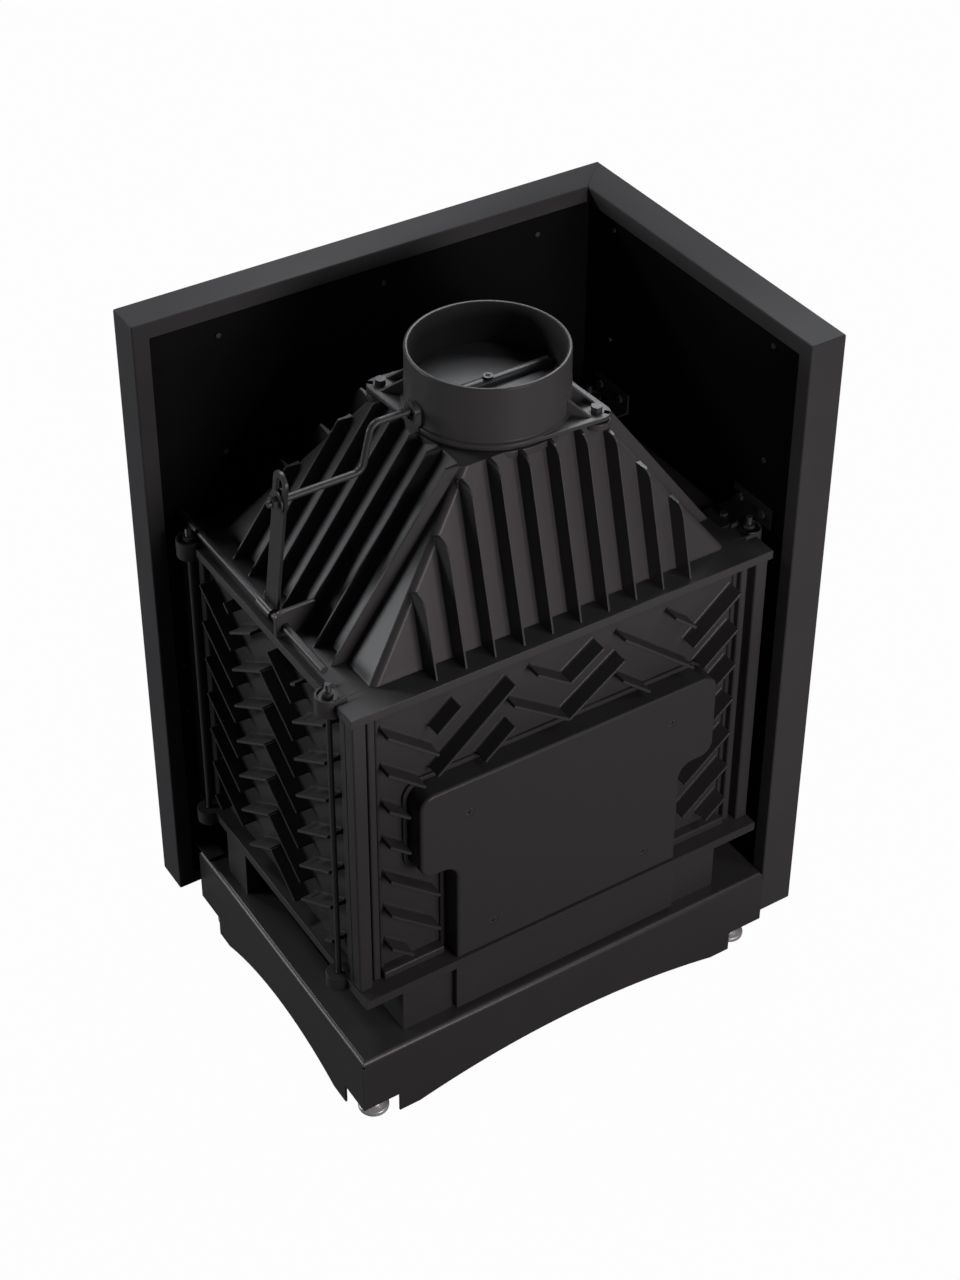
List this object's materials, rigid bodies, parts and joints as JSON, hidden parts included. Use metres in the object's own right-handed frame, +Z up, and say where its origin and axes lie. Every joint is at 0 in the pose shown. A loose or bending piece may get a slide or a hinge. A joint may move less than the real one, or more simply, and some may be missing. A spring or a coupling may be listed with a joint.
{
  "type": "fireplace insert",
  "caption": "Corner fireplace insert: finned cast body with ribbed hood and flue collar on a sheet stand, behind an L-shaped surround with glazed door, damper, air slide and ash drawer.",
  "frame": {"origin": "on the floor, under the middle of the bounding box", "axes": "+Z up, -Y out of the door front, -X out of the glazed side, +X to the finned side wall"},
  "size_m": [0.7, 0.55, 0.954],
  "materials": {
    "cast_black": "matt black heat resistant paint on cast iron, fine grain",
    "sheet_black": "matt black heat resistant paint on sheet steel",
    "facade_paint": "fine textured black stove paint",
    "lining_black": "dull black sheet",
    "dark_rod": "blackened round steel",
    "zinc": "zinc plated",
    "knob_black": "black heat resistant moulding",
    "ceramic_glass": "clear ceramic glass, slightly smoked",
    "rope": "glass fibre rope",
    "refractory": "pressed refractory board"
  },
  "bodies": {
    "stove": {"top_frame": "cast_black", "hood": "cast_black", "hood_ribs": "cast_black", "rear_plate": "cast_black", "side_plate": "cast_black", "front_frame": "cast_black", "side_window_frame": "cast_black", "bottom_plate": "cast_black", "rear_cover": "cast_black", "flue_collar": "cast_black", "grate": "cast_black", "log_guard": "cast_black", "base_frame": "sheet_black", "air_box": "sheet_black", "air_box_cover": "sheet_black", "foot_brackets": "sheet_black", "facade_brackets": "sheet_black", "side_glass_frame": "sheet_black", "hinge_brackets": "sheet_black", "facade_front": "facade_paint", "facade_side": "facade_paint", "front_lining_sheet": "lining_black", "side_lining_sheet": "lining_black", "tie_rods": "dark_rod", "collar_screws": "dark_rod", "tie_rod_nuts": "dark_rod", "tie_rod_washers": "dark_rod", "cover_screws": "dark_rod", "lining_screws": "dark_rod", "bracket_bolts": "dark_rod", "foot_locknuts": "zinc", "hinge_pins": "zinc", "side_glass": "ceramic_glass", "rear_lining": "refractory", "side_lining": "refractory", "hearth_bricks": "refractory", "baffle": "refractory"},
    "damper": {"damper_disc": "cast_black", "damper_shaft": "dark_rod", "damper_screw": "dark_rod", "pin_fasteners": "dark_rod"},
    "damper_control": {"pull_rod": "dark_rod", "damper_lever": "sheet_black", "damper_knob": "knob_black"},
    "door": {"door_frame": "sheet_black", "door_glass": "ceramic_glass", "glass_clips": "zinc", "clip_screws": "zinc", "door_rope_seal": "rope"},
    "door_handle": {"handle_lever": "dark_rod", "handle_grip": "knob_black"},
    "drawer": {"ash_drawer": "sheet_black", "drawer_front": "facade_paint", "drawer_knob": "knob_black"},
    "air_control": {"air_slide": "sheet_black", "air_knob": "knob_black"},
    "foot_1": {"levelling_foot_1": "zinc"},
    "foot_2": {"levelling_foot_2": "zinc"},
    "foot_3": {"levelling_foot_3": "zinc"},
    "foot_4": {"levelling_foot_4": "zinc"}
  },
  "joints": [
    {"name": "damper_pull", "type": "slide", "parent": "stove", "child": "damper_control", "axis": [0, -1, 0], "range_m": [0, 0.055]},
    {"name": "damper_turn", "type": "hinge", "parent": "stove", "child": "damper", "pos_m": [0.014, 0.065, 0.898], "axis": [-1, 0, 0], "range_deg": [0, 55]},
    {"name": "door_swing", "type": "hinge", "parent": "stove", "child": "door", "pos_m": [0.284, -0.243, 0.42], "axis": [0, 0, 1], "range_deg": [0, 100]},
    {"name": "handle_turn", "type": "hinge", "parent": "door", "child": "door_handle", "pos_m": [-0.24, -0.234, 0.42], "axis": [0, -1, 0], "range_deg": [0, 85]},
    {"name": "drawer_slide", "type": "slide", "parent": "stove", "child": "drawer", "axis": [0, -1, 0], "range_m": [0, 0.26]},
    {"name": "air_slide", "type": "slide", "parent": "stove", "child": "air_control", "axis": [1, 0, 0], "range_m": [0, 0.018]},
    {"name": "foot_turn_1", "type": "hinge", "parent": "stove", "child": "foot_1", "pos_m": [0.296, 0.246, 0.06], "axis": [0, 0, 1], "continuous": true},
    {"name": "foot_turn_2", "type": "hinge", "parent": "stove", "child": "foot_2", "pos_m": [-0.268, 0.246, 0.06], "axis": [0, 0, 1], "continuous": true},
    {"name": "foot_turn_3", "type": "hinge", "parent": "stove", "child": "foot_3", "pos_m": [-0.268, -0.139, 0.06], "axis": [0, 0, 1], "continuous": true},
    {"name": "foot_turn_4", "type": "hinge", "parent": "stove", "child": "foot_4", "pos_m": [0.296, -0.139, 0.06], "axis": [0, 0, 1], "continuous": true}
  ],
  "couplings": [
    {"joint": "damper_turn", "follows": "damper_pull", "rad_per_m": 17.094}
  ]
}
